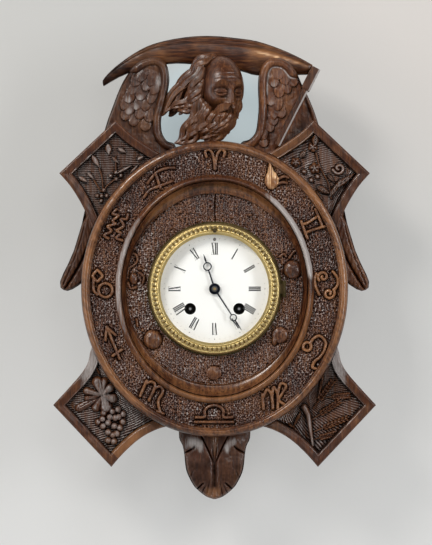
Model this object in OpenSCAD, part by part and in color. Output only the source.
// Carved wall clock with a hinged brass bezel, a Roman dial and a round two-train movement.
// Millimetres. The wall is the plane Y = 0, the front looks along -Y, and +Z is up.
// The origin is the centre of the hole in the hanging plate, on the wall.
// Distances called out from the wall are depths: a depth of 70 lies at Y = -70.

/* [Placing] */
// Height of the hanging hole above the dial's centre
hang_height = 100; // [96:1:106]

/* [Oval board and ring] */
// Half width of the oval board and of the ring on it
oval_half_w = 120; // [116:1:124]
// Half height of the oval board and of the ring on it
oval_half_h = 133; // [129:1:137]
// Thickness of the oval board and of the corner panels
board_t = 18; // [16:1:20]
// Height of the zodiac ring above the board
ring_t = 16; // [14:1:18]
// Width of the ring's outer rim
rim_w = 8; // [6:0.5:10]
// Width of the sunk ground that holds the zodiac signs
ground_w = 22.5; // [20:0.5:25]
// How far the ground lies below the top of the rim
ground_sink = 5; // [3:0.5:7]
// Width of a sign's strokes
sign_w = 2.4; // [2:0.1:3]
// Height of the signs above their ground
sign_rise = 2.2; // [1.5:0.1:2.6]
// Width of the moulding inside the ground
moulding_w = 5.5; // [4:0.5:7]
// Width of the hollow moulding down to the dish at the sides
cove_side_w = 5; // [3:0.5:6]
// Width of the same moulding at the top and bottom
cove_top_w = 11.5; // [8:0.5:14]
// Thickness of the inner panel, the floor of the dish
dish_t = 4; // [3:0.5:6]

/* [Corner panels] */
// How far the field of a corner panel lies below its border
field_sink = 4; // [2:0.5:6]
// Width of a corner panel's raised border
border_w = 8.5; // [6:0.5:10]

/* [Wings] */
// Thickness of the wing boards behind the panels
wing_t = 14; // [12:1:16]
// How far the wings stand forward above the panels
wing_relief = 12; // [8:1:14]

/* [Scythe] */
// Thickness of the blade
blade_t = 12; // [10:1:13]
// Width of the shaft
shaft_w = 6; // [5:0.5:7]
// Thickness of the shaft in front of the wing
shaft_t = 8; // [6:0.5:9]
// Width of the ferrule
ferrule_w = 8.5; // [7:0.5:10]
// Length of the ferrule
ferrule_len = 22; // [18:1:24]

/* [Head] */
// Radius of the skull
skull_r = 22; // [20:0.5:23]
// Width of the tongue that holds the head behind the board
head_tongue_w = 50; // [40:1:56]

/* [Leaf pendant] */
// Thickness of the leaf in front of its tongue
leaf_t = 16; // [12:1:18]
// Thickness of the tongue behind the board
leaf_tongue_t = 10; // [8:1:14]

/* [Case] */
// Depth of the case from the wall to the oval board
case_depth = 70; // [68:1:74]
// Half width of the case
case_half_w = 80; // [76:1:84]
// Top of the case above the dial's centre
case_up = 88; // [84:1:90]
// Bottom of the case below the dial's centre
case_down = 104; // [100:1:106]
// Thickness of the case's sides, top and bottom
case_wall = 9; // [8:0.5:10]
// Length of the wood screws
screw_len = 22; // [16:1:26]
// Radius of a wood screw's shank
screw_r = 1.6; // [1.2:0.1:2]
// Radius of a wood screw's head
screw_head_r = 3.2; // [2.6:0.2:3.6]

/* [Back door] */
// Thickness of the back door
door_t = 6; // [5:0.5:7]
// How far the door's rear face lies in front of the wall
door_inset = 2.2; // [2.2:0.1:3]
// Gap round the door
door_gap = 0.5; // [0.3:0.1:0.8]
// Radius of the hinge knuckles
knuckle_r = 1.7; // [1.5:0.1:1.8]
// Radius of the hinge pins
hinge_pin_r = 0.8; // [0.7:0.05:0.9]
// Length of each door hinge
hinge_len = 24; // [20:1:30]
// Height of the upper hinge above the dial's centre
hinge_up = 45; // [35:1:55]
// Depth of the lower hinge below the dial's centre
hinge_down = 60; // [50:1:70]
// Length of the turn button from its pivot over the door
button_reach = 13; // [11:1:15]
// Width of the turn button
button_w = 7; // [6:0.5:8]
// Thickness of the turn button
button_t = 1.6; // [1.2:0.1:1.7]

/* [Hanging plate] */
// Radius of the hole that hangs on the wall hook
hang_hole_r = 3.2; // [2.6:0.1:4]
// Thickness of the hanging plate
hang_plate_t = 1.6; // [1.2:0.1:2]
// Width of the hanging plate
hang_plate_w = 22; // [20:1:28]

/* [Bezel] */
// How far the hinged bezel reaches beyond the sleeve
bezel_over = 5.8; // [5.4:0.1:6.4]
// Width of the hinged bezel from its outer edge to its front lip
bezel_w = 8.1; // [7.8:0.1:9]
// Height of the hinged bezel
bezel_h = 10; // [9:0.5:11]
// How far the fixed base ring's flange shows round the hinged bezel
flange_over = 1.5; // [1:0.1:1.8]
// Thickness of the flange
flange_t = 1.5; // [1:0.1:1.8]
// Gap between the flange and the hinged bezel
bezel_gap = 0.3; // [0.2:0.1:0.4]
// Outer radius of the sleeve that passes through the board
sleeve_r = 53.2; // [53:0.1:54]
// Wall of the sleeve
sleeve_wall = 1.2; // [1:0.1:1.3]
// Length of the sleeve behind the flange
sleeve_len = 16; // [12:1:17]
// Clearance of the sleeve in the wood
sleeve_gap = 0.4; // [0.2:0.1:0.8]
// Distance of the bezel's hinge pin from the bezel's outer edge
bezel_hinge_out = 3.6; // [3.4:0.1:4.2]
// Length of the bezel's hinge
bezel_hinge_len = 14.4; // [12:0.6:18]
// Radius of the bezel's hinge pin
bezel_pin_r = 0.7; // [0.6:0.05:0.8]
// Thickness of the glass
glass_t = 1.5; // [1.2:0.1:2]
// Width of the gilt sight ring between the sleeve and the dial
sight_w = 3.1; // [2.4:0.1:4]

/* [Dial and hands] */
// Thickness of the enamel dial
dial_t = 1; // [0.8:0.1:1.2]
// Thickness of the brass plate behind the dial
dial_plate_t = 1; // [0.8:0.1:1.2]
// Hour that the hands show
shown_hour = 11; // [0:1:11]
// Minute that the hands show
shown_minute = 24.5; // [0:0.5:59.5]
// Length of the hour hand
hour_hand_len = 32.6; // [30:0.2:34]
// Length of the minute hand
minute_hand_len = 44.4; // [42:0.2:46]
// Thickness of the hands
hand_t = 0.8; // [0.6:0.1:1]
// Distance of each winding arbor to the side of the dial's centre
winding_x = 22; // [21.5:0.5:22.5]
// Distance of the winding arbors below the dial's centre
winding_down = 18; // [17.5:0.5:18.5]
// Radius of the winding holes in the dial
winding_hole_r = 5.2; // [4.8:0.1:5.6]

/* [Movement] */
// Radius of the movement's plates
plate_r = 41; // [40.5:0.5:42]
// Thickness of the plates
plate_t = 2; // [1.6:0.1:2.4]
// Space between the plates
plate_space = 36; // [35:0.5:38]
// Length of the posts that carry the dial plate
post_len = 4.6; // [4.4:0.1:5.2]
// Radius of the pillars between the plates
pillar_r = 2.8; // [2.2:0.2:3.2]
// Radius of the spring barrels
barrel_r = 17; // [16:0.5:17.5]
// Length of the spring barrels
barrel_len = 20; // [18:0.5:21]
// Radius of the winding arbors
winding_arbor_r = 2.1; // [1.9:0.1:2.3]
// Side of the winding squares
winding_square = 3; // [2.6:0.1:3.2]
// Radius of the ratchet wheels
ratchet_r = 6.5; // [6.3:0.1:6.8]
// Thickness of the ratchets and clicks
click_t = 1.4; // [1:0.1:1.6]
// Height of the regulator arbor above the dial's centre
regulator_up = 44.5; // [44:0.1:45.5]
// Radius of the regulator arbor
regulator_r = 0.9; // [0.8:0.05:1]
// Running clearance of arbors in their holes
running = 0.05; // [0.02:0.01:0.08]

/* [Motion work] */
// Distance from the dial's centre to the minute wheel's post
motion_centres = 10.8; // [10.6:0.1:11.2]
// Teeth of the cannon pinion
cannon_teeth = 12; // [12:12:12]
// Teeth of the minute wheel
minute_wheel_teeth = 36; // [36:12:36]
// Leaves of the minute wheel's pinion
minute_pinion_teeth = 10; // [10:10:10]
// Teeth of the hour wheel
hour_wheel_teeth = 40; // [40:10:40]

/* [Pendulum] */
// Height of the pendulum's bending point above the dial's centre
pendulum_up = 37.4; // [37:0.1:38]
// Length of the pendulum to the bob's centre
pendulum_len = 100; // [94:1:104]
// Radius of the bob
bob_r = 14; // [12:0.5:15]
// Thickness of the bob
bob_t = 7; // [6:0.5:8]
// Radius of the pendulum rod
rod_r = 1.1; // [1:0.1:1.3]
// Clearance of the rod in the crutch's fork
fork_gap = 0.15; // [0.1:0.05:0.3]

/* [Bell and hammer] */
// Radius of the bell at its mouth
bell_r = 30; // [28:0.5:31]
// Depth of the bell
bell_h = 15; // [13:0.5:15.5]
// Wall of the bell
bell_wall = 1.5; // [1.2:0.1:2]
// Gap between the resting hammer and the bell
hammer_gap = 0.8; // [0.6:0.1:1.4]
// Radius of the hammer's head
hammer_head_r = 3.2; // [2.6:0.1:3.6]

/* [Hidden] */
$fn = 96;

// Colours
oak = [0.33, 0.19, 0.12];
dark_oak = [0.25, 0.15, 0.1];
brass = [0.76, 0.6, 0.3];
steel = [0.55, 0.56, 0.58];
blue_steel = [0.12, 0.13, 0.17];
enamel = [0.96, 0.96, 0.93];
glass_tint = [0.85, 0.92, 0.95, 0.3];

// Depths, worked out from the wall forwards
board_back = case_depth;
board_front = board_back + board_t;
ring_front = board_front + ring_t;
dish_front = board_front + dish_t;
wing_back = board_back - wing_t;
wing_front = board_back + wing_relief;
blade_front = wing_back + blade_t;
shaft_front = wing_front + shaft_t;
flange_front = dish_front + flange_t;
bezel_back = flange_front + bezel_gap;
bezel_front = bezel_back + bezel_h;
dial_front = dish_front + 0.6;
dial_back = dial_front - dial_t;
dial_plate_back = dial_back - dial_plate_t;
lug_t = 2;
lug_front = dial_plate_back - post_len;
front_plate_front = lug_front - lug_t;
front_plate_back = front_plate_front - plate_t;
bezel_r = sleeve_r + bezel_over;
bezel_lip_r = bezel_r - bezel_w;
flange_r = bezel_r + flange_over;
bezel_hinge_x = bezel_r + bezel_hinge_out;
back_plate_front = front_plate_back - plate_space;
back_plate_back = back_plate_front - plate_t;

// Helpers
// A flat shape standing in the XZ plane, filling the depths from near to far
module out(near, far) {
    translate([0, -near, 0]) rotate([90, 0, 0]) linear_extrude(far - near) children();
}
// A round bar along Y at [x, z]
module bar(r, near, far, at = [0, 0]) {
    translate([at[0], -near, at[1]]) rotate([90, 0, 0]) cylinder(r = r, h = far - near);
}
// A turned shape about the Y axis, from points [radius, depth]
module turned(points, at = [0, 0]) {
    translate([at[0], 0, at[1]]) rotate([90, 0, 0]) rotate_extrude() polygon(points);
}
// Everything drawn about the dial's centre
module at_dial() {
    translate([0, 0, -hang_height]) children();
}
function flip(points) = [for (p = points) [-p[0], p[1]]];
function polar(r, a) = [r * cos(a), r * sin(a)];
// The point at distances ra from a and rb from b, to the left of the way from a to b
function meet(a, ra, b, rb) =
    let (
        d = norm(b - a),
        u = (b - a) / d,
        s = (ra * ra - rb * rb + d * d) / (2 * d),
        h = sqrt(ra * ra - s * s)
    )
    a + u * s + [-u[1], u[0]] * h;
// A smooth curve through chosen points, with steps pieces between each pair
function curve_point(a, b, c, d, t) =
    0.5 * (2 * b + (c - a) * t + (2 * a - 5 * b + 4 * c - d) * t * t
        + (3 * b - a - 3 * c + d) * t * t * t);
function curve(p, steps) = [
    for (i = [0 : len(p) - 2])
        for (j = [0 : steps - 1])
            curve_point(p[max(i - 1, 0)], p[i], p[i + 1], p[min(i + 2, len(p) - 1)], j / steps),
    p[len(p) - 1]
];
// The same outline moved inwards by w, for outlines that run clockwise
function inset(p, w) = [
    for (i = [0 : len(p) - 1])
        let (
            a = p[(i + len(p) - 1) % len(p)],
            b = p[i],
            c = p[(i + 1) % len(p)],
            u = (b - a) / norm(b - a),
            v = (c - b) / norm(c - b),
            n = [u[1], -u[0]] + [v[1], -v[0]],
            k = max(1 + u * v, 0.4)
        )
        b + n * w / k
];
// A gear's outline: six points a tooth
function gear(teeth, size, turn) = [
    for (i = [0 : teeth - 1])
        let (pitch = 360 / teeth, mid = turn + i * pitch, r = size * teeth / 2)
        for (f = [[-1.15, -0.3], [0, -0.2], [0.85, -0.07], [0.85, 0.07], [0, 0.2], [-1.15, 0.3]])
            polar(r + f[0] * size, mid + f[1] * pitch)
];
// A plainer wheel's outline: two points a tooth
function spiked(teeth, size, turn) = [
    for (i = [0 : teeth - 1])
        let (pitch = 360 / teeth, r = size * teeth / 2)
        for (f = [[0.75, 0], [-1.05, 0.5]])
            polar(r + f[0] * size, turn + (i + f[1]) * pitch)
];
// The turn that puts a tooth gap of the second wheel opposite the first wheel's tooth at angle a
function gap_turn(teeth, a) = a + 180 + 180 / teeth;
function direction(a, b) = atan2(b[1] - a[1], b[0] - a[0]);

// The oval
oval_steps = 80;
function oval(a, b) = [
    for (i = [0 : oval_steps - 1]) [a * cos(i * 360 / oval_steps), b * sin(i * 360 / oval_steps)]
];
module board_oval() {
    polygon(oval(oval_half_w, oval_half_h));
}
sleeve_hole_r = sleeve_r + sleeve_gap;
// The carved outlines are drawn for an oval of this half width and half height, and follow it
drawn_half_w = 120;
drawn_half_h = 133;
carve_w = oval_half_w / drawn_half_w;
carve_h = oval_half_h / drawn_half_h;
function drawn(points) = [for (p = points) [carve_w * p[0], carve_h * p[1]]];

module main_board() {
    color(oak) at_dial() out(board_back, board_front) difference() {
        board_oval();
        circle(r = sleeve_hole_r);
    }
}

// The rim's and the moulding's sections as [half width, half height, depth], from the outer foot inwards
rim_in = [oval_half_w - rim_w, oval_half_h - rim_w * 0.85];
ground_in = rim_in - [ground_w, ground_w + 1];
moulding_in = ground_in - [moulding_w, moulding_w];
dish_edge = moulding_in - [cove_side_w, cove_top_w];
ground_front = ring_front - ground_sink;
cove_h = ring_front - 4 - dish_front;
rim_section = [
    [oval_half_w, oval_half_h, board_front],
    [oval_half_w, oval_half_h, ring_front - 5],
    [oval_half_w - 1, oval_half_h - 1, ring_front - 1.8],
    [oval_half_w - 3, oval_half_h - 3, ring_front - 0.3],
    [rim_in[0] + 3, rim_in[1] + 3, ring_front],
    [rim_in[0] + 1, rim_in[1] + 1, ring_front - 1.2],
    [rim_in[0], rim_in[1], board_front]
];
moulding_section = [
    [ground_in[0], ground_in[1], board_front],
    [ground_in[0] - 0.6, ground_in[1] - 0.6, ring_front - 2],
    [ground_in[0] - 2.4, ground_in[1] - 2.4, ring_front - 1],
    [moulding_in[0] + 1.2, moulding_in[1] + 1.2, ring_front - 2],
    [moulding_in[0], moulding_in[1], ring_front - 4],
    [moulding_in[0] - cove_side_w * 0.3, moulding_in[1] - cove_top_w * 0.2, dish_front + cove_h * 0.6],
    [moulding_in[0] - cove_side_w * 0.65, moulding_in[1] - cove_top_w * 0.5, dish_front + cove_h * 0.25],
    [moulding_in[0] - cove_side_w * 0.9, moulding_in[1] - cove_top_w * 0.8, dish_front + cove_h * 0.06],
    [dish_edge[0], dish_edge[1], dish_front],
    [dish_edge[0], dish_edge[1], board_front]
];
// A curl's line: its radius shrinks from r to the share curl_end of it while it turns
curl_steps = 9;
curl_end = 0.235;
function curl(at, r, start, turn) = [
    for (i = [0 : curl_steps])
        at + polar(r * (1 - (1 - curl_end) * i / curl_steps), start + turn * i / curl_steps)
];
// The signs on the ground: a centre on the dial, then strokes in millimetres from that centre
ram_horn = [[-7.7, 1.8], [-8.8, 6.3], [-5.9, 8.5], [-2.7, 5.4], [-0.9, -0.9], [-0.2, -9]];
ram = [[0.4, 116.8], [ram_horn, flip(ram_horn)]];
bull = [[51.1, 96.8], [
    [[-0.7, 15], [-1, 6]],
    [[6, 1.9], [11.3, 4.2], [14.9, 3.2]],
    [[5, -2.8], [9.5, -1.1], [13.6, -1.6]]
]];
twins = [[87.7, 58.3], [
    [[-9.9, 2.2], [-4.2, -13]],
    [[3.1, 13.1], [9.4, -2.5]],
    [[-9, -0.5], [-3.6, 1.3], [3.2, 5.9]],
    [[-5.4, -7.6], [1.8, -5], [11.3, -2.2]]
]];
crab = [[100.3, 4.3], [
    curl([-2.7, 6.5], 5, -140, -430),
    [[-9, 9.4], [-10.3, 4], [-9.5, -2.3], [-6.1, -9.5]],
    curl([2.5, -8.4], 5.3, 40, -430),
    [[7.7, -4.5], [10.6, 0], [10.1, 5.8], [5.9, 11.2]]
]];
lion = [[90.4, -56.9], [
    [
        [-4.7, 7.6], [-1.6, 12.1], [4, 14.6], [9.4, 9.2], [8.1, 1.4], [4.1, -4.5], [-0.7, -8.5],
        [-2.5, -13.5], [0.5, -14.9]
    ]
]];
maiden = [[53.5, -96.5], [
    [[-10.4, 1.3], [-9.4, -11.7]],
    [[-9.7, -0.9], [-6.3, 5.9], [-2.3, 0.9], [-1.1, -10.8]],
    [[-1.8, 0], [-0.4, 8.1], [3.1, 1.8], [3.2, -10.8]],
    [[3.1, 1.8], [5.9, 11.2], [10.8, 9], [6.8, 1.8], [4.1, -3.6], [9.7, -7.6]]
]];
balance_arm = [[-16.2, -2.7], [-8.6, -2.3], [-8.5, 3.1], [-5, 6.8], [0, 8.3]];
balance = [[-0.5, -112.7], [balance_arm, flip(balance_arm), [[-17.1, -7], [17.1, -7]]]];
scorpion = [[-55.4, -96.5], [
    [[-5.6, 13.9], [-8.6, 7.2], [-11.5, 0]],
    [[-5.4, 11.7], [-0.9, 13], [2, 9], [-3.6, -3.6]],
    [[1.8, 7.2], [6.3, 8.8], [9, 4.1], [4.7, -4.9], [6.8, -14.8]],
    [[3.8, -13.5], [9.5, -15.8]]
]];
archer = [[-91.4, -48.8], [
    [[6.1, -14], [-5.2, 14]],
    [[-5.4, 14.8], [-6.8, 2.7]],
    [[-5.8, 14.6], [2.5, 7.2]],
    [[0, -11.3], [7.9, -5.9]]
]];
goat = [[-103.1, 6.1], [
    [[-2.2, 10.8], [-6.6, 5.4], [-2.3, 0.4]],
    [[-2.2, 10.8], [2.1, 5.4], [-2.3, 0.4]],
    [[-5.6, 2.2], [-6.1, -3.6], [-5.2, -8.1], [-2.3, -11.2]]
]];
water_bearer = [[-88.7, 57.4], [
    [
        [0.4, 13.9], [-2.9, 10.1], [2.3, 8.5], [-2.9, 3.8], [-0.5, 0.9], [-7.4, -1.3], [-4.1, -5.4],
        [-10.4, -9.2], [-6.8, -12.1]
    ],
    [[10.8, 9.5], [9.4, 5.2], [4.3, 5], [7, -0.9], [0.9, -5], [4.5, -7.7], [0.4, -11.5], [5.9, -14]]
]];
fishes = [[-50.9, 96.1], [
    [[-9.4, -1.3], [-1.8, 8.1], [7.2, 12.2], [14.4, 12.6]],
    [[-12.6, -13.9], [-7.2, -7.2], [1.8, -3.6], [13.1, 0.9]],
    [[-2.2, 8.1], [2.2, -5.4]]
]];
bull_head = [6.6, 8];
lion_curl = [[-7.2, 5], 3.7];
goat_curl = [[5, -7.4], 6.2];
// The outline of a stroke of width w along a line
function stroke(line, w) =
    let (
        last = len(line) - 1,
        way = [for (i = [0 : last - 1]) (line[i + 1] - line[i]) / norm(line[i + 1] - line[i])],
        side = [
            for (i = [0 : last])
                let (u = way[max(i - 1, 0)], v = way[min(i, last - 1)])
                [u[1] + v[1], -u[0] - v[0]] * w / 2 / max(1 + u * v, 0.5)
        ]
    )
    concat([for (i = [0 : last]) line[i] + side[i]], [for (i = [last : -1 : 0]) line[i] - side[i]]);
module signs() {
    for (sign = [ram, bull, twins, crab, lion, maiden, balance, scorpion, archer, goat, water_bearer, fishes])
        for (line = sign[1])
            polygon(stroke(drawn([for (p = curve(line, 2)) sign[0] + p]), sign_w));
    polygon(drawn([for (p = oval(bull_head[0], bull_head[1])) bull[0] + p]));
    for (ring = [[lion, lion_curl], [goat, goat_curl]])
        translate(drawn([ring[0][0] + ring[1][0]])[0]) difference() {
            circle(r = ring[1][1] + sign_w / 2);
            circle(r = ring[1][1] - sign_w / 2);
        }
}
// A moulding whose section, in [half width, half height, depth], is carried round the oval
module oval_moulding(section) {
    rows = len(section);
    corners = [
        for (s = section) for (p = oval(s[0], s[1])) [p[0], -s[2], p[1]]
    ];
    sides = [
        for (i = [0 : rows - 1]) for (j = [0 : oval_steps - 1])
            let (
                a = i * oval_steps + j,
                b = i * oval_steps + (j + 1) % oval_steps,
                c = ((i + 1) % rows) * oval_steps + (j + 1) % oval_steps,
                d = ((i + 1) % rows) * oval_steps + j
            )
            [d, c, b, a]
    ];
    polyhedron(corners, sides);
}
// How far the ground reaches under the rim and the moulding, and the signs into the ground
ground_tuck = 2;
sign_root = 0.5;
module zodiac_ring() {
    color(oak) at_dial() {
        oval_moulding(rim_section);
        oval_moulding(moulding_section);
        out(board_front, ground_front) difference() {
            polygon(oval(rim_in[0] + ground_tuck, rim_in[1] + ground_tuck));
            polygon(oval(ground_in[0] - ground_tuck, ground_in[1] - ground_tuck));
        }
        out(ground_front - sign_root, ground_front + sign_rise) signs();
    }
}

dish_gap = 0.2;
module inner_panel() {
    color(dark_oak) at_dial() out(board_front, dish_front) difference() {
        polygon(oval(dish_edge[0] - dish_gap, dish_edge[1] - dish_gap));
        circle(r = sleeve_hole_r);
    }
}

// Corner panels: outlines on the right side, clockwise, ending well under the ring
upper_tip = [139.9, 104];
upper_top = [89, 152];
upper_panel = drawn(concat(
    curve([[40, 117], [50, 122.5], [66.5, 132.8], [78.5, 141.6], upper_top], 3),
    curve([upper_tip, [129.2, 91.6], [117.8, 72.5], [108.5, 50], [100, 30]], 3),
    [[60, 60]]
));
lower_tip = [145.4, -104.7];
lower_foot = [93, -160.4];
lower_panel = drawn(concat(
    curve([[100, -30], [110.8, -53], [113.8, -65.5], [119.3, -75.4], [130, -88], lower_tip], 3),
    curve([lower_foot, [84, -150], [72, -138.5], [60, -130.3], [46, -124.6], [30, -122]], 3),
    [[50, -60]]
));
module panel_shape(outline) {
    difference() {
        polygon(outline);
        board_oval();
    }
}
module corner_panel(outline) {
    difference() {
        out(board_back, board_front) panel_shape(outline);
        out(board_front - field_sink, board_front + 1) difference() {
            polygon(inset(outline, border_w));
            board_oval();
        }
    }
}
module upper_right_panel() {
    color(oak) at_dial() corner_panel(upper_panel);
}
module upper_left_panel() {
    color(oak) at_dial() mirror([1, 0, 0]) corner_panel(upper_panel);
}
module lower_right_panel() {
    color(oak) at_dial() corner_panel(lower_panel);
}
module lower_left_panel() {
    color(oak) at_dial() mirror([1, 0, 0]) corner_panel(lower_panel);
}

// Scythe: a crescent blade, then the ferrule and the shaft on one slanting line
blade_outer = [
    [-100.6, 183], [-101.3, 188], [-93.5, 197.3], [-79.1, 208.7], [-61.9, 218.8], [-43.3, 224.6],
    [-20.3, 228.1], [0, 228.5], [19.9, 226.6], [38.5, 223.8], [60, 216.6], [77.3, 208.7], [88.7, 202.3]
];
blade_inner = [
    [84, 193.5], [62, 193], [37.8, 193], [24.2, 196.6], [0, 200.5], [-20.3, 203],
    [-43.3, 203], [-77.7, 195.1], [-100.6, 183]
];
blade_shape = drawn(concat(curve(blade_outer, 3), curve(blade_inner, 3)));
shaft_top = [carve_w * 91.6, carve_h * 199];
shaft_foot = [carve_w * 56.2, carve_h * 129.5];
shaft_turn = direction(shaft_foot, shaft_top);
shaft_len = norm(shaft_top - shaft_foot);
// A bar lying on the shaft's line, from one distance to another along it
module on_shaft(w, from, to) {
    translate(shaft_foot) rotate(shaft_turn) translate([from, -w / 2]) square([to - from, w]);
}
module ferrule_shape() {
    on_shaft(ferrule_w, shaft_len - ferrule_len, shaft_len);
}
module scythe_blade() {
    color(oak) at_dial() out(wing_back, blade_front) difference() {
        polygon(blade_shape);
        ferrule_shape();
    }
}
module scythe_ferrule() {
    color(oak) at_dial() out(wing_back, shaft_front + 1) ferrule_shape();
}
module scythe_shaft() {
    color(oak) at_dial() difference() {
        out(wing_front, shaft_front) on_shaft(shaft_w, 0, shaft_len - ferrule_len);
        out(0, ring_front) panel_shape(upper_panel);
    }
}

// Wings: the feathered top, a hidden band behind the panel, and the feather tips below it
left_wing_top = drawn([
    [-33, 120], [-36, 130.6], [-42.5, 133], [-47, 139.5], [-48.4, 147], [-48, 155], [-44.2, 169.5],
    [-41.5, 183], [-41, 192], [-43.5, 203],
    [-50, 208.3], [-56, 209], [-64, 207], [-72, 202], [-80, 191.5], [-86, 180], [-92.5, 163],
    [-97.5, 149], [-99, 138], [-90, 120]
]);
right_wing_top = drawn([
    [21, 122], [24, 132], [31, 134.6], [36.5, 140.5], [38.6, 150], [39.8, 165], [39.2, 182],
    [40.2, 195], [43.5, 202.5],
    [48.5, 207], [55, 208.3], [63.2, 206.8], [70.6, 200.8], [75.5, 192], [79, 184], [84.5, 173],
    [89.5, 161], [94, 147.5], [96, 138], [88, 120]
]);
wing_band = drawn([
    [60, 128], [84, 147], [104, 128], [126, 102], [117.3, 71], [119.9, 58.6], [123.3, 47.3],
    [127.2, 34.5], [132, 23.3], [137.1, 13.1], [139.6, 6.5], [139.2, 1], [136.5, -1.2], [134.2, 1],
    [132.9, -2], [128.6, -0.6], [122.5, 3.2], [118.5, 6.5], [104, 10], [97, 60], [88, 104]
]);
web_foot_h = carve_h * 116;
web_h = carve_h * 30;
module wing(top, side) {
    difference() {
        out(wing_back, wing_front) difference() {
            polygon(curve(top, 3));
            board_oval();
            scale([side, 1]) polygon(upper_panel);
        }
        out(0, blade_front) polygon(blade_shape);
        out(0, shaft_front + 1) ferrule_shape();
    }
    out(wing_back, board_back) scale([side, 1]) polygon(wing_band);
    out(wing_back, board_back) intersection() {
        polygon(curve(top, 3));
        translate([-oval_half_w, web_foot_h]) square([2 * oval_half_w, web_h]);
    }
}
module left_wing() {
    color(oak) at_dial() wing(left_wing_top, -1);
}
module right_wing() {
    color(oak) at_dial() wing(right_wing_top, 1);
}

// Bearded head, turned to the right: skull, jaw, nose, beard and swept hair as blended balls
head_depth = blade_front + skull_r * 0.55;
// A ball of radius r at x and z, standing above or below the head's own depth
module ball(r, x, rise, z) {
    translate([carve_w * x, -head_depth - carve_w * rise, carve_h * z]) sphere(r = carve_w * r, $fn = 24);
}
skull_at = [2, 188];
module bearded_head() {
    color(oak) at_dial() difference() {
        union() {
            difference() {
                union() {
                    hull() {
                        translate([carve_w * skull_at[0], -head_depth, carve_h * skull_at[1]])
                            sphere(r = skull_r, $fn = 24);
                        ball(14.5, 7, 5, 166);
                    }
                    hull() {
                        ball(3, 11, 21, 184);
                        ball(4, 14, 21, 172);
                    }
                    hull() {
                        ball(13, 6, 4, 160);
                        ball(10, 3, 0, 142);
                        ball(7, 10, 0, 138);
                    }
                    hull() {
                        ball(12, -9, -2, 157);
                        ball(10, -18.5, -3, 151);
                        ball(7, -21.5, -3, 141);
                        ball(5, -32, -4, 129);
                    }
                    hull() {
                        ball(13, -12, -2, 188);
                        ball(9, -28, -3, 173);
                        ball(7, -22, -3, 162);
                        ball(5, -43.5, -5, 161);
                    }
                }
                out(0, blade_front) polygon(blade_shape);
            }
            out(wing_back, blade_front + 6) polygon(drawn([[-36, 124], [-12, 145], [12, 142], [18, 124]]));
        }
        out(0, wing_back) square(4 * oval_half_h, center = true);
        out(board_back, ring_front + 20) board_oval();
        out(0, ring_front + 20) translate([-head_tongue_w, 0]) square([2 * head_tongue_w, carve_h * 122]);
        out(0, wing_front) polygon(curve(left_wing_top, 3));
    }
}

// Leaf pendant: a notched leaf below the ring, with a tongue behind the board
leaf_right = drawn([
    [32, -120], [32, -134], [29, -141], [27.5, -148], [26.5, -158], [24.8, -166], [19.5, -176.5],
    [15, -181.5], [7.5, -187.3], [0.5, -189.7]
]);
module leaf_shape() {
    leaf_left = [for (i = [len(leaf_right) - 1 : -1 : 0]) flip(leaf_right)[i]];
    polygon(concat(curve(leaf_right, 3), curve(leaf_left, 3)));
}
module leaf_pendant() {
    color(oak) at_dial() {
        out(board_back, board_back + leaf_t) difference() {
            leaf_shape();
            board_oval();
        }
        out(board_back - leaf_tongue_t, board_back) intersection() {
            leaf_shape();
            translate([-oval_half_w / 2, -carve_h * 170]) square([oval_half_w, carve_h * 170 - case_down - 2]);
        }
    }
}

// Case
case_h = case_up + case_down;
screw_rows = [20, 50];
joint_zs = [case_up - case_wall / 2, -case_down + case_wall / 2];
module case_screw_holes() {
    for (z = joint_zs) for (depth = screw_rows) for (side = [-1, 1])
        translate([side * case_half_w, -depth, z]) rotate([0, -side * 90, 0])
            cylinder(r = screw_r, h = screw_len, $fn = 24);
}
hinge_x = -case_half_w + case_wall + 0.2;
hinge_depth = 2;
hinge_zs = [hinge_up, -hinge_down];
hinge_leaf_w = 8;
hinge_leaf_t = 1;
leaf_setback = 2.4;
module side_board(side) {
    x = side > 0 ? case_half_w - case_wall : -case_half_w;
    translate([x, -case_depth, -case_down]) cube([case_wall, case_depth, case_h]);
}
module case_left_side() {
    color(dark_oak) at_dial() difference() {
        side_board(-1);
        case_screw_holes();
        for (z = hinge_zs) {
            translate([-case_half_w, -1.3, z - hinge_len / 2]) cube([case_wall, 1.3, hinge_len]);
            translate([hinge_x - knuckle_r - 0.3, -4.2, z - hinge_len / 2]) cube([4, 4.2, hinge_len]);
        }
    }
}
button_x = case_half_w - case_wall / 2;
button_z = -8;
button_tail = 4;
pocket_depth = 2;
button_hole_r = 1.3;
module case_right_side() {
    color(dark_oak) at_dial() difference() {
        side_board(1);
        case_screw_holes();
        translate([case_half_w - case_wall, -pocket_depth, button_z - button_reach - 1])
            cube([case_wall, pocket_depth, button_reach + 1 + button_w]);
        bar(button_hole_r - running, pocket_depth, pocket_depth + 10, [button_x, button_z]);
    }
}
module cross_board(z) {
    translate([-case_half_w + case_wall, -case_depth, z])
        cube([2 * (case_half_w - case_wall), case_depth, case_wall]);
}
hang_screws = [[-7, case_up - case_wall / 2], [7, case_up - case_wall / 2]];
hang_screw_r = 1.4;
hang_screw_len = 12;
module case_top() {
    color(dark_oak) at_dial() difference() {
        cross_board(case_up - case_wall);
        case_screw_holes();
        translate([-hang_plate_w / 2, -hang_plate_t, case_up - case_wall])
            cube([hang_plate_w, hang_plate_t, case_wall]);
        for (p = hang_screws) bar(hang_screw_r, 0, hang_screw_len, p);
    }
}
module case_bottom() {
    color(dark_oak) at_dial() difference() {
        cross_board(-case_down);
        case_screw_holes();
    }
}
door_left = hinge_x + leaf_setback - 0.2;
door_right = case_half_w - case_wall - door_gap;
door_bottom = -case_down + case_wall + door_gap;
door_top = case_up - case_wall - door_gap;
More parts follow.
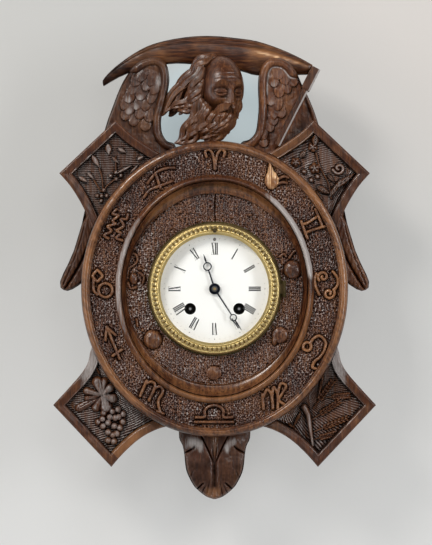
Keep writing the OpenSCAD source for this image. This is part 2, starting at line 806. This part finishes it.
module back_door() {
    color(dark_oak) at_dial() translate([door_left, -door_inset - door_t, door_bottom])
        cube([door_right - door_left, door_t, door_top - door_bottom]);
}
knuckle_gap = 0.3;
knuckle_len = (hinge_len - 2 * knuckle_gap) / 3;
module upright(r, len, x, depth, z) {
    translate([x, -depth, z]) cylinder(r = r, h = len, $fn = 48);
}
module door_hinges_fixed() {
    color(brass) at_dial() for (z = hinge_zs) {
        foot = z - hinge_len / 2;
        difference() {
            union() {
                translate([-case_half_w + 0.6, -1.3, foot])
                    cube([hinge_x - 2.2 + case_half_w - 0.6, hinge_leaf_t, hinge_len]);
                for (k = [0, 2]) {
                    low = foot + k * (knuckle_len + knuckle_gap);
                    translate([hinge_x - 3, -1.3, low]) cube([3, hinge_leaf_t, knuckle_len]);
                    upright(knuckle_r, knuckle_len, hinge_x, hinge_depth, low);
                }
            }
        }
        upright(hinge_pin_r, hinge_len, hinge_x, hinge_depth, foot);
    }
}
module door_hinges_moving() {
    color(brass) at_dial() for (z = hinge_zs) {
        low = z - knuckle_len / 2;
        difference() {
            union() {
                translate([hinge_x + leaf_setback, -door_inset, z - hinge_len / 2])
                    cube([hinge_leaf_w, hinge_leaf_t, hinge_len]);
                translate([hinge_x, -door_inset, low])
                    cube([leaf_setback, hinge_leaf_t, knuckle_len]);
                upright(knuckle_r, knuckle_len, hinge_x, hinge_depth, low);
            }
            upright(hinge_pin_r + running, hinge_len, hinge_x, hinge_depth, z - hinge_len / 2);
        }
    }
}
button_back = 0.3;
module turn_button() {
    color(brass) at_dial() difference() {
        out(button_back, button_back + button_t) {
            translate([button_x - button_w / 2, button_z - button_reach]) square([button_w, button_reach]);
            translate([button_x, button_z]) circle(r = button_w / 2);
        }
        bar(button_hole_r, 0, 3, [button_x, button_z]);
    }
}
module hanging_plate() {
    color(brass) at_dial() difference() {
        out(0, hang_plate_t) {
            translate([-hang_plate_w / 2, case_up - case_wall])
                square([hang_plate_w, hang_height - case_up + case_wall]);
            translate([0, hang_height]) circle(r = hang_plate_w / 2);
        }
        bar(hang_hole_r, -1, hang_plate_t + 1, [0, hang_height]);
        for (p = hang_screws) bar(hang_screw_r, -1, hang_plate_t + 1, p);
    }
}
screw_head_t = 1.4;
module wood_screws() {
    color(steel) at_dial() {
        for (z = joint_zs) for (depth = screw_rows) for (side = [-1, 1])
            translate([side * case_half_w, -depth, z]) rotate([0, -side * 90, 0]) {
                cylinder(r = screw_r, h = screw_len, $fn = 24);
                translate([0, 0, -screw_head_t]) cylinder(r = screw_head_r, h = screw_head_t, $fn = 24);
            }
        for (p = hang_screws) bar(hang_screw_r, 0, hang_screw_len, p);
        bar(button_hole_r - running, 0, pocket_depth + 10, [button_x, button_z]);
        bar(button_hole_r + 1.2, 0, button_back - 0.05, [button_x, button_z]);
    }
}

// Bezel and dial
lug_angles = [52, 128, 245, 295];
lug_w = 8;
lug_in = 35;
lug_screw_r = 1.1;
lug_screw_at = 38;
post_at = 45;
sleeve_in = sleeve_r - sleeve_wall;
sleeve_back = dish_front - sleeve_len;
base_knuckle = (bezel_hinge_len - 2 * knuckle_gap) / 3;
bezel_hinge_depth = bezel_back + 2;
bezel_knuckle_r = 1.7;
module bezel_base() {
    color(brass) at_dial() {
        difference() {
            union() {
                turned([
                    [sleeve_in, sleeve_back], [sleeve_r, sleeve_back], [sleeve_r, dish_front],
                    [flange_r, dish_front], [flange_r, flange_front], [sleeve_in, flange_front]
                ]);
                for (a = lug_angles)
                    out(front_plate_front, lug_front) intersection() {
                        rotate(a) translate([lug_in, -lug_w / 2]) square([sleeve_in + 0.5 - lug_in, lug_w]);
                        circle(r = sleeve_in + 0.5);
                    }
                for (side = [-1, 1])
                    translate([
                        flange_r - 1.5, -flange_front,
                        side > 0 ? bezel_hinge_len / 2 - base_knuckle : -bezel_hinge_len / 2
                    ]) cube([bezel_hinge_x + 1.4 - flange_r + 1.5, flange_t, base_knuckle]);
                for (side = [-1, 1])
                    translate([
                        bezel_hinge_x - 1.2, -bezel_hinge_depth,
                        side > 0 ? bezel_hinge_len / 2 - base_knuckle : -bezel_hinge_len / 2
                    ]) cube([2.6, bezel_hinge_depth - dish_front, base_knuckle]);
                for (z = [-bezel_hinge_len / 2, bezel_hinge_len / 2 - base_knuckle])
                    upright(bezel_knuckle_r, base_knuckle, bezel_hinge_x, bezel_hinge_depth, z);
            }
            for (a = lug_angles) bar(lug_screw_r, 0, bezel_front, polar(lug_screw_at, a));
        }
        for (a = lug_angles) bar(1.5, lug_front, dial_plate_back, polar(post_at, a));
        upright(bezel_pin_r, bezel_hinge_len, bezel_hinge_x, bezel_hinge_depth, -bezel_hinge_len / 2);
    }
}
glass_back = bezel_front - 1.3 - glass_t;
glass_r = bezel_lip_r + 2;
stud_r = 2.1;
module bezel_ring() {
    color(brass) at_dial() difference() {
        union() {
            turned([
                [glass_r + 0.2, bezel_back], [bezel_r, bezel_back], [bezel_r, bezel_front - 5],
                [bezel_r - 0.5, bezel_front - 3.8], [bezel_r - 1.3, bezel_front - 3.3],
                [bezel_r - 2.1, bezel_front - 3.9], [bezel_r - 2.5, bezel_front - 4],
                [bezel_r - 4.6, bezel_front - 1.2], [bezel_lip_r + 0.8, bezel_front],
                [bezel_lip_r, bezel_front - 0.4], [bezel_lip_r, glass_back + glass_t],
                [glass_r + 0.2, glass_back + glass_t]
            ]);
            translate([0, -bezel_front, bezel_lip_r + 1.4]) sphere(r = stud_r, $fn = 48);
            translate([bezel_r - 1, -bezel_hinge_depth - 1, -base_knuckle / 2])
                cube([bezel_hinge_x - bezel_r + 1, 2, base_knuckle]);
            upright(bezel_knuckle_r, base_knuckle, bezel_hinge_x, bezel_hinge_depth, -base_knuckle / 2);
        }
        bar(glass_r + 0.1, bezel_back - 1, glass_back + glass_t);
        upright(bezel_pin_r + running, bezel_hinge_len, bezel_hinge_x, bezel_hinge_depth, -bezel_hinge_len / 2);
    }
}
module bezel_glass() {
    color(glass_tint) at_dial() bar(glass_r, glass_back, glass_back + glass_t);
}
sight_out = sleeve_in - 0.1;
sight_r = sight_out - sight_w;
module sight_ring() {
    color(brass) at_dial() turned([
        [sight_r, dial_front], [sight_out, dial_front], [sight_out, dial_front + 3.4],
        [sight_out - 0.7, dial_front + 3.6], [sight_r, dial_front + 0.8]
    ]);
}
going_at = [winding_x, -winding_down];
strike_at = [-winding_x, -winding_down];
hour_pipe_r = 2.9;
regulator_hole_r = 1.4;
module dial_holes() {
    circle(r = hour_pipe_r + 0.4);
    translate(going_at) circle(r = winding_hole_r);
    translate(strike_at) circle(r = winding_hole_r);
    translate([0, regulator_up]) circle(r = regulator_hole_r);
}
module dial_plate() {
    color(brass) at_dial() out(dial_plate_back, dial_back) difference() {
        circle(r = sleeve_in - 0.3);
        dial_holes();
    }
}
module enamel_dial() {
    color(enamel) at_dial() out(dial_back, dial_front) difference() {
        circle(r = sleeve_in - 0.5);
        dial_holes();
    }
}

// Hands: a boss, a slim arm, a hollow ring and a leaf-shaped tip, drawn pointing up
minute_angle = shown_minute * 6;
hour_angle = (shown_hour + shown_minute / 60) * 30;
hour_hand_back = dial_front + 1.7;
minute_hand_back = hour_hand_back + hand_t + 0.9;
nut_front = minute_hand_back + hand_t + 1.7;
module hand_shape(len, boss, ring_at, ring_out, ring_in, arm) {
    difference() {
        union() {
            circle(r = boss);
            polygon([[-arm, 0], [arm, 0], [arm * 0.6, ring_at], [-arm * 0.6, ring_at]]);
            translate([0, ring_at]) circle(r = ring_out, $fn = 48);
            polygon([
                [-0.5, ring_at + ring_in], [0.5, ring_at + ring_in],
                [arm, ring_at + ring_out + 2.6], [0.15, len], [-0.15, len],
                [-arm, ring_at + ring_out + 2.6]
            ]);
        }
        translate([0, ring_at]) circle(r = ring_in, $fn = 48);
    }
}
cannon_pipe_r = 2;
module hour_hand() {
    color(blue_steel) at_dial() rotate([0, hour_angle, 0])
        out(hour_hand_back, hour_hand_back + hand_t) difference() {
            hand_shape(hour_hand_len, 5, 21.1, 3.9, 2.9, 0.8);
            circle(r = hour_pipe_r);
        }
}
module minute_hand() {
    color(blue_steel) at_dial() rotate([0, minute_angle, 0])
        out(minute_hand_back, minute_hand_back + hand_t) difference() {
            hand_shape(minute_hand_len, 3.4, 30.9, 3.3, 2.4, 0.75);
            circle(r = cannon_pipe_r);
        }
}
centre_r = 1.2;
module hand_nut() {
    color(brass) at_dial() turned([
        [centre_r + running, minute_hand_back + hand_t], [2.6, minute_hand_back + hand_t],
        [2.6, nut_front - 0.6], [2, nut_front], [centre_r + running, nut_front]
    ]);
}

// Going train, laid out from the centre and the barrels
train_size = 0.5;
great_teeth = 76;
second_teeth = 72;
leaves = 10;
fine_size = 0.36;
centre_teeth = 84;
third_leaves = 6;
finest_size = 0.3;
third_teeth = 70;
escape_teeth = 30;
centre_at = [0, 0];
great_reach = (great_teeth + leaves) * train_size / 2;
second_reach = (second_teeth + leaves) * train_size / 2;
second_at = meet(centre_at, second_reach, going_at, great_reach);
escape_r = 8.5;
pallet_turn = 42;
escape_at = [0, pendulum_up - escape_r / cos(pallet_turn)];
third_reach = (centre_teeth + third_leaves) * fine_size / 2;
escape_reach = (third_teeth + third_leaves) * finest_size / 2;
third_at = meet(escape_at, escape_reach, centre_at, third_reach);
strike_second_at = [-second_at[0], second_at[1]];
strike_pin_reach = 20;
pin_wheel_at = strike_second_at + polar(strike_pin_reach, 52.5);
fly_at = [-20.5, 26.5];
hammer_at = [-16, 31];
pillars_at = [[30, 24], [-30, 24], [6.5, -37.4], [-6.5, -37.4]];
second_r = 0.9;
third_r = 0.8;
escape_arbor_r = 0.6;
pallet_r = 0.9;
pin_r = 0.9;
fly_r = 0.6;
hammer_r = 1.2;
motion_post_r = 0.9;
motion_post_at = [0, motion_centres];

module plate_outline() {
    circle(r = plate_r);
    translate([-5, 0]) square([10, regulator_up + 4]);
}
// Holes that both plates have, with running clearance
module plate_bores() {
    for (h = [
        [centre_at, centre_r], [going_at, winding_arbor_r], [strike_at, winding_arbor_r],
        [second_at, second_r], [third_at, third_r], [escape_at, escape_arbor_r],
        [[0, pendulum_up], pallet_r], [strike_second_at, second_r], [pin_wheel_at, pin_r],
        [fly_at, fly_r], [hammer_at, hammer_r], [[0, regulator_up], regulator_r]
    ]) translate(h[0]) circle(r = h[1] + running, $fn = 48);
}
click_pivot = [8.2, 10.5];
click_post_r = 0.8;
click_back = front_plate_front + 0.4;
module front_plate() {
    color(brass) at_dial() {
        out(front_plate_back, front_plate_front) difference() {
            plate_outline();
            plate_bores();
            for (a = lug_angles) translate(polar(lug_screw_at, a)) circle(r = lug_screw_r, $fn = 48);
        }
        bar(motion_post_r, front_plate_front, front_plate_front + 5.6, motion_post_at);
        for (side = [-1, 1])
            bar(click_post_r, front_plate_front, click_back + click_t + 0.3,
                [side * (winding_x + click_pivot[0]), -winding_down + click_pivot[1]]);
    }
}
module back_plate() {
    color(brass) at_dial() out(back_plate_back, back_plate_front) difference() {
        plate_outline();
        plate_bores();
    }
}
module pillars() {
    color(brass) at_dial() for (p = pillars_at) {
        bar(pillar_r, back_plate_front, front_plate_back, p);
        bar(pillar_r + 0.6, back_plate_front + 12, back_plate_front + 14, p);
        bar(pillar_r + 0.6, front_plate_back - 14, front_plate_back - 12, p);
    }
}
module movement_screws() {
    color(steel) at_dial() for (a = lug_angles) {
        bar(lug_screw_r, front_plate_back - 2, lug_front, polar(lug_screw_at, a));
        bar(2, lug_front, lug_front + 1.2, polar(lug_screw_at, a));
    }
}

// Barrels, with the great wheel on the front rim
barrel_front = front_plate_back - 11;
barrel_back = barrel_front - barrel_len - 2;
great_front = barrel_front;
great_t = 2;
great_turn = direction(going_at, second_at);
module barrel(at, turn) {
    drum_front = great_front - great_t;
    difference() {
        union() {
            bar(barrel_r, barrel_back, drum_front, at);
            out(drum_front, great_front) translate(at) polygon(spiked(great_teeth, train_size, turn));
        }
        bar(barrel_r - 1.2, barrel_back + 1.2, drum_front - 1.2, at);
        bar(winding_arbor_r + running, barrel_back - 1, great_front + 1, at);
    }
}
module going_barrel() {
    color(brass) at_dial() barrel(going_at, great_turn);
}
module strike_barrel() {
    color(brass) at_dial() barrel(strike_at, 180 - great_turn);
}
spring_in = 6;
module mainsprings() {
    color(blue_steel) at_dial() for (at = [going_at, strike_at])
        difference() {
            bar(barrel_r - 1.2, barrel_back + 1.5, great_front - great_t - 1.5, at);
            bar(spring_in, 0, bezel_front, at);
        }
}

// Winding arbors: pivots in both plates, a saw-toothed ratchet and a square under the dial
ratchet_teeth = 24;
ratchet_depth = 1;
ratchet_shape = [
    for (i = [0 : ratchet_teeth - 1])
        for (p = [[ratchet_r, 0], [ratchet_r - ratchet_depth, 1.5]])
            polar(p[0], i * 360 / ratchet_teeth + p[1])
];
square_front = dial_front - 1;
module winding_arbor(at) {
    bar(winding_arbor_r, back_plate_back, click_back, at);
    bar(spring_in - 0.5, barrel_back + 1.5, great_front - great_t - 1.5, at);
    out(click_back, square_front) translate(at) square(winding_square, center = true);
}
module going_arbor() {
    color(steel) at_dial() {
        winding_arbor(going_at);
        out(click_back, click_back + click_t) translate(going_at) polygon(ratchet_shape);
    }
}
module strike_arbor() {
    color(steel) at_dial() {
        winding_arbor(strike_at);
        out(click_back, click_back + click_t) translate(strike_at) polygon(flip(ratchet_shape));
    }
}
// The click's nose drops behind a steep tooth face; its tail turns on a post
nose_r = ratchet_r - ratchet_depth + 0.45;
click_shape = [
    [nose_r, 0.38], [ratchet_r - 0.2, 1.35], [ratchet_r + 0.35, 2.3], [ratchet_r + 0.6, 5],
    click_pivot + [-1.2, -0.9], click_pivot + [1.2, -0.9], [ratchet_r + 2.4, 4], [ratchet_r + 0.8, 0.5]
];
module click_blade() {
    difference() {
        union() {
            out(click_back, click_back + click_t) translate(going_at) polygon(click_shape);
            bar(1.8, click_back, click_back + click_t, going_at + click_pivot);
        }
        bar(click_post_r + running, 0, bezel_front, going_at + click_pivot);
    }
}
module going_click() {
    color(steel) at_dial() click_blade();
}
module strike_click() {
    color(steel) at_dial() mirror([1, 0, 0]) click_blade();
}

// Static wheels of the train, each on its arbor, in mesh at rest
arbor_back = back_plate_back - 0.3;
arbor_front = front_plate_front + 0.2;
second_leaves_turn = gap_turn(leaves, direction(going_at, second_at));
centre_leaves_turn = gap_turn(leaves, direction(second_at, centre_at));
third_leaves_turn = gap_turn(third_leaves, direction(centre_at, third_at));
escape_leaves_turn = gap_turn(third_leaves, direction(third_at, escape_at));
wheel_t = 1.2;
second_wheel_at = front_plate_back - 8.5;
centre_wheel_at = front_plate_back - 4;
third_wheel_at = front_plate_back - 22;
escape_wheel_at = back_plate_front + 4;
module wheel(at, teeth, size, turn, depth, t) {
    out(depth, depth + t) translate(at) polygon(spiked(teeth, size, turn));
}
module centre_arbor() {
    color(brass) at_dial() {
        bar(centre_r, arbor_back, nut_front + 0.4);
        wheel(centre_at, centre_teeth, fine_size, direction(centre_at, third_at), centre_wheel_at, wheel_t);
        wheel(centre_at, leaves, train_size, centre_leaves_turn, second_wheel_at - 0.7, 2.4);
    }
}
module second_wheel() {
    color(brass) at_dial() {
        bar(second_r, arbor_back, arbor_front, second_at);
        wheel(second_at, second_teeth, train_size, direction(second_at, centre_at), second_wheel_at, wheel_t);
        wheel(second_at, leaves, train_size, second_leaves_turn, great_front - great_t - 1, 3.6);
    }
}
module third_wheel() {
    color(brass) at_dial() {
        bar(third_r, arbor_back, arbor_front, third_at);
        wheel(third_at, third_teeth, finest_size, direction(third_at, escape_at), third_wheel_at, wheel_t);
        wheel(third_at, third_leaves, fine_size, third_leaves_turn, centre_wheel_at - 1, 3.4);
    }
}
escape_pitch = 360 / escape_teeth;
escape_turn = 90 - pallet_turn + escape_pitch / 2;
escape_shape = [
    for (i = [0 : escape_teeth - 1])
        for (p = [[escape_r, 0], [escape_r - 1.3, 0.3], [escape_r - 1.3, 0.85]])
            polar(p[0], escape_turn + (i + p[1]) * escape_pitch)
];
module escape_wheel() {
    color(brass) at_dial() {
        bar(escape_arbor_r, arbor_back, arbor_front, escape_at);
        out(escape_wheel_at, escape_wheel_at + wheel_t) translate(escape_at) polygon(escape_shape);
        wheel(escape_at, third_leaves, finest_size, escape_leaves_turn, third_wheel_at - 1, 3.4);
    }
}
count_r = 10.4;
count_slots = 11;
module strike_wheels() {
    color(brass) at_dial() {
        bar(second_r, arbor_back, arbor_front, strike_second_at);
        wheel(strike_second_at, second_teeth, train_size, 0, second_wheel_at + 2.5, wheel_t);
        wheel(strike_second_at, leaves, train_size, 180 - second_leaves_turn, great_front - great_t - 1, 3.6);
        bar(pin_r, arbor_back, arbor_front, pin_wheel_at);
        bar(7, front_plate_back - 16, front_plate_back - 15, pin_wheel_at);
        for (i = [0 : 9])
            bar(0.4, front_plate_back - 18, front_plate_back - 15, pin_wheel_at + polar(6, i * 36));
        bar(fly_r, arbor_back, arbor_front, fly_at);
        translate([fly_at[0] - 3.5, -front_plate_back + 12, fly_at[1] - 0.4]) cube([7, 14, 0.8]);
        out(back_plate_back - 2, back_plate_back - 0.8) translate(strike_at) difference() {
            circle(r = count_r);
            for (i = [1 : count_slots])
                rotate(i * (i + 1) * 360 / (count_slots + 1) / (count_slots + 2))
                    translate([count_r - 1.6, -0.6]) square([2, 1.2]);
        }
        bar(2.6, back_plate_back - 2, back_plate_back, strike_at);
    }
}

// Pallets on their arbor, with the crutch and fork behind the back plate
pendulum_depth = back_plate_back - 11;
fork_z = 5;
nib_turn = 90 - pallet_turn;
nib_r = escape_r - 0.15;
pallet_rise = pendulum_up - escape_at[1];
crutch_front = pendulum_depth + rod_r + 5;
module pallets() {
    color(steel) at_dial() {
        bar(pallet_r, crutch_front - 2, arbor_front, [0, pendulum_up]);
        out(escape_wheel_at, escape_wheel_at + wheel_t) translate([0, escape_at[1]]) for (side = [-1, 1])
            scale([side, 1]) polygon([
                polar(nib_r, nib_turn - 2.4), polar(nib_r + 2.2, nib_turn - 3), [1.6, pallet_rise + 2.4],
                [0, pallet_rise + 2.4], [0, pallet_rise - 1.2], polar(nib_r + 1.05, nib_turn + 2.5),
                polar(nib_r, nib_turn + 0.6)
            ]);
        out(crutch_front - 2, crutch_front) {
            translate([-1.2, fork_z]) square([2.4, pendulum_up - fork_z]);
            translate([0, pendulum_up]) circle(r = 2.4, $fn = 48);
            translate([-3, fork_z - 1]) square([6, 4]);
        }
        for (side = [-1, 1])
            translate([
                side > 0 ? rod_r + fork_gap : -rod_r - fork_gap - 1.3, -crutch_front + 1, fork_z - 1
            ]) cube([1.3, crutch_front - 1 - pendulum_depth + 1, 3]);
    }
}

// Suspension cock on the back plate, with the spring hanging in its slot
cock_low = pendulum_up + 4;
cock_high = regulator_up + 2.6;
slot_w = 1.6;
spring_w = 4;
spring_t = 0.3;
module suspension_cock() {
    color(brass) at_dial() difference() {
        union() {
            out(back_plate_back - 2, back_plate_back)
                translate([-5, cock_low]) square([10, regulator_up + 4 - cock_low]);
            out(pendulum_depth - 4, back_plate_back - 2) translate([-4.5, cock_low])
                square([9, cock_high - cock_low]);
        }
        out(pendulum_depth - 5, pendulum_depth + 3.2) translate([-slot_w / 2, cock_low - 1])
            square([slot_w, cock_high - cock_low + 2]);
        bar(regulator_r + running, pendulum_depth + 3.4, back_plate_back + 1, [0, regulator_up]);
    }
}
spring_pin_r = 0.5;
hook_top = pendulum_up - 6;
module suspension_spring() {
    color(steel) at_dial() {
        translate([-spring_t / 2, -pendulum_depth - spring_w / 2, hook_top - 2])
            cube([spring_t, spring_w, cock_high + 0.7 - hook_top + 2]);
        translate([-2.4, -pendulum_depth, cock_high + 0.8]) rotate([0, 90, 0])
            cylinder(r = spring_pin_r, h = 4.8, $fn = 24);
    }
}
bob_z = pendulum_up - pendulum_len;
rod_foot = bob_z - bob_r - 3;
module pendulum_rod() {
    color(brass) at_dial() {
        difference() {
            translate([-2, -pendulum_depth - 2.6, hook_top - 4]) cube([4, 5.2, 4]);
            translate([-spring_t / 2, -pendulum_depth - spring_w / 2, hook_top - 2])
                cube([spring_t, spring_w, 2]);
        }
        upright(rod_r, hook_top - 4 - rod_foot, 0, pendulum_depth, rod_foot);
        upright(2.4, 2, 0, pendulum_depth, rod_foot + 0.6);
    }
}
module pendulum_bob() {
    color(brass) at_dial() difference() {
        turned([
            [0, pendulum_depth - bob_t / 2], [bob_r * 0.5, pendulum_depth - bob_t * 0.42],
            [bob_r * 0.85, pendulum_depth - bob_t * 0.24], [bob_r, pendulum_depth - 0.6],
            [bob_r, pendulum_depth + 0.6], [bob_r * 0.85, pendulum_depth + bob_t * 0.24],
            [bob_r * 0.5, pendulum_depth + bob_t * 0.42], [0, pendulum_depth + bob_t / 2]
        ], [0, bob_z]);
        upright(rod_r + running, 2 * bob_r + 2, 0, pendulum_depth, bob_z - bob_r - 1);
    }
}
module regulator_arbor() {
    color(steel) at_dial() {
        bar(regulator_r, pendulum_depth + 3.6, dial_front - 1, [0, regulator_up]);
        out(dial_front - 1, dial_front + 0.6) translate([0, regulator_up]) square(1.3, center = true);
    }
}

// Motion work between the front plate and the dial
motion_size = 2 * motion_centres / (cannon_teeth + minute_wheel_teeth);
slow_size = 2 * motion_centres / (minute_pinion_teeth + hour_wheel_teeth);
up = 90;
module cannon_pinion() {
    color(steel) at_dial() difference() {
        union() {
            out(front_plate_front + 0.6, front_plate_front + 2.6)
                polygon(gear(cannon_teeth, motion_size, gap_turn(cannon_teeth, up + 180)));
            bar(cannon_pipe_r, front_plate_front + 0.6, minute_hand_back + hand_t);
        }
        bar(centre_r + running, 0, bezel_front);
    }
}
module minute_wheel() {
    color(brass) at_dial() difference() {
        union() {
            out(front_plate_front + 1, front_plate_front + 2.2) translate(motion_post_at)
                polygon(gear(minute_wheel_teeth, motion_size, up + 180));
            out(front_plate_front + 2.2, front_plate_front + 5) translate(motion_post_at)
                polygon(gear(minute_pinion_teeth, slow_size, gap_turn(minute_pinion_teeth, up)));
        }
        bar(motion_post_r + running, 0, bezel_front, motion_post_at);
    }
}
module hour_wheel() {
    color(brass) at_dial() difference() {
        union() {
            out(front_plate_front + 3.4, front_plate_front + 4.6)
                polygon(gear(hour_wheel_teeth, slow_size, up));
            bar(hour_pipe_r, front_plate_front + 3, hour_hand_back + hand_t);
        }
        bar(cannon_pipe_r + running, 0, bezel_front);
    }
}

// Bell on its stand, and the hammer
bell_at = [-10, -26];
bell_mouth = pendulum_depth - 6;
bell_top = bell_mouth - bell_h;
stand_r = 2;
module bell() {
    color(steel) at_dial() {
        turned([
            [stand_r, bell_top], [bell_r * 0.45, bell_top + 0.6], [bell_r * 0.78, bell_top + bell_h * 0.24],
            [bell_r * 0.94, bell_top + bell_h * 0.55], [bell_r, bell_mouth],
            [bell_r - bell_wall, bell_mouth], [bell_r * 0.94 - bell_wall, bell_top + bell_h * 0.55 + 0.7],
            [bell_r * 0.78 - 1, bell_top + bell_h * 0.24 + bell_wall],
            [bell_r * 0.45, bell_top + bell_wall + 0.6], [stand_r, bell_top + bell_wall]
        ], bell_at);
        bar(stand_r, bell_top - 2.6, back_plate_back, bell_at);
        turned([
            [stand_r, bell_top + bell_wall], [stand_r + 1.2, bell_top + bell_wall],
            [stand_r + 1.2, back_plate_back - 2], [stand_r + 1.6, back_plate_back - 2],
            [stand_r + 1.6, back_plate_back], [stand_r, back_plate_back]
        ], bell_at);
        turned([[stand_r, bell_top - 2], [3.6, bell_top - 2], [3.6, bell_top], [stand_r, bell_top]], bell_at);
    }
}
strike_turn = 135;
head_at = bell_at + polar(bell_r + hammer_gap + hammer_head_r, strike_turn);
hammer_len = norm(head_at - hammer_at);
module bell_hammer() {
    color(steel) at_dial() {
        bar(hammer_r, crutch_front - 2, arbor_front, hammer_at);
        out(crutch_front - 2, crutch_front) {
            translate(hammer_at) rotate(direction(hammer_at, head_at)) translate([0, -1.2])
                square([hammer_len, 2.4]);
            translate(hammer_at) circle(r = 2.6, $fn = 48);
        }
        bar(hammer_head_r, bell_mouth - 5, crutch_front, head_at);
    }
}

main_board();
zodiac_ring();
inner_panel();
upper_left_panel();
upper_right_panel();
lower_left_panel();
lower_right_panel();
left_wing();
right_wing();
scythe_blade();
scythe_ferrule();
scythe_shaft();
bearded_head();
leaf_pendant();
case_left_side();
case_right_side();
case_top();
case_bottom();
back_door();
door_hinges_fixed();
door_hinges_moving();
turn_button();
hanging_plate();
wood_screws();
bezel_base();
bezel_ring();
bezel_glass();
sight_ring();
dial_plate();
enamel_dial();
hour_hand();
minute_hand();
hand_nut();
front_plate();
back_plate();
pillars();
movement_screws();
going_barrel();
strike_barrel();
mainsprings();
going_arbor();
strike_arbor();
going_click();
strike_click();
centre_arbor();
second_wheel();
third_wheel();
escape_wheel();
strike_wheels();
pallets();
suspension_cock();
suspension_spring();
pendulum_rod();
pendulum_bob();
regulator_arbor();
cannon_pinion();
minute_wheel();
hour_wheel();
bell();
bell_hammer();
